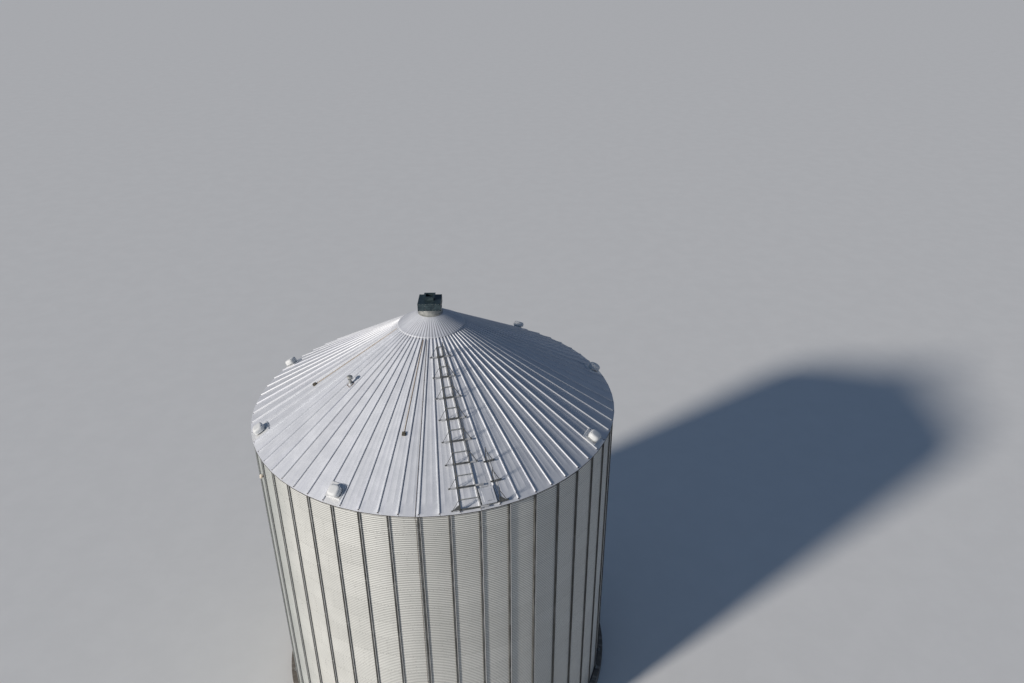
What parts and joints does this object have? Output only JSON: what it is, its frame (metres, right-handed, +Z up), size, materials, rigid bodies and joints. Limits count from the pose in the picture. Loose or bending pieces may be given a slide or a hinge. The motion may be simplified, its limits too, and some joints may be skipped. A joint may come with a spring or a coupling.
{
  "type": "grain silo",
  "caption": "Round grain silo: corrugated steel wall with outside stiffeners, ribbed conical roof with vents, steps and a hinged hatch, on a low concrete plinth.",
  "frame": {"origin": "centre of the plinth's underside, on the silo's axis at ground level", "axes": "+Z up along the silo's axis; -Y is the side with roof rib 0, beside the roof steps; +X to the right seen from that side"},
  "size_m": [20.7764, 20.8, 25.8701],
  "materials": {
    "wall_sheet": "weathered galvanised",
    "roof_sheet": "weathered galvanised",
    "steel_bar": "hot dip galvanised",
    "concrete": "cast",
    "dark_paint": "matt",
    "rusty_steel": "rusted",
    "cream_paint": "satin"
  },
  "bodies": {
    "silo": {"foundation_plinth": "concrete", "wall_sector_01": "wall_sheet", "wall_sector_02": "wall_sheet", "wall_sector_03": "wall_sheet", "wall_sector_04": "wall_sheet", "wall_sector_05": "wall_sheet", "wall_sector_06": "wall_sheet", "wall_sector_07": "wall_sheet", "wall_sector_08": "wall_sheet", "wall_sector_09": "wall_sheet", "wall_sector_10": "wall_sheet", "wall_sector_11": "wall_sheet", "roof_sector_01": "roof_sheet", "roof_sector_02": "roof_sheet", "roof_sector_03": "roof_sheet", "roof_sector_04": "roof_sheet", "roof_sector_05": "roof_sheet", "roof_sector_06": "roof_sheet", "roof_sector_07": "roof_sheet", "roof_sector_08": "roof_sheet", "roof_sector_09": "roof_sheet", "roof_sector_10": "roof_sheet", "roof_sector_11": "roof_sheet", "peak_cap": "roof_sheet", "peak_collar": "steel_bar", "inlet_box": "dark_paint", "inlet_neck": "dark_paint", "roof_steps": "steel_bar", "handrail_left": "steel_bar", "handrail_right": "steel_bar", "hatch_guard": "steel_bar", "hatch_frame": "steel_bar", "roof_vent_1": "roof_sheet", "roof_vent_2": "roof_sheet", "roof_vent_3": "roof_sheet", "roof_vent_4": "roof_sheet", "roof_vent_5": "roof_sheet", "roof_vent_6": "roof_sheet", "roof_vent_7": "roof_sheet", "stack_vent": "steel_bar", "level_sensor_front": "rusty_steel", "level_sensor_left": "rusty_steel", "lightning_rod": "rusty_steel", "eave_lamp": "cream_paint"},
    "lid": {"hatch_lid": "roof_sheet"}
  },
  "joints": [
    {"name": "hatch_hinge", "type": "hinge", "parent": "silo", "child": "lid", "pos_m": [3.04328, -8.79299, 19.99142], "axis": [-0.945, -0.3271, 0], "range_deg": [0, 105]}
  ]
}
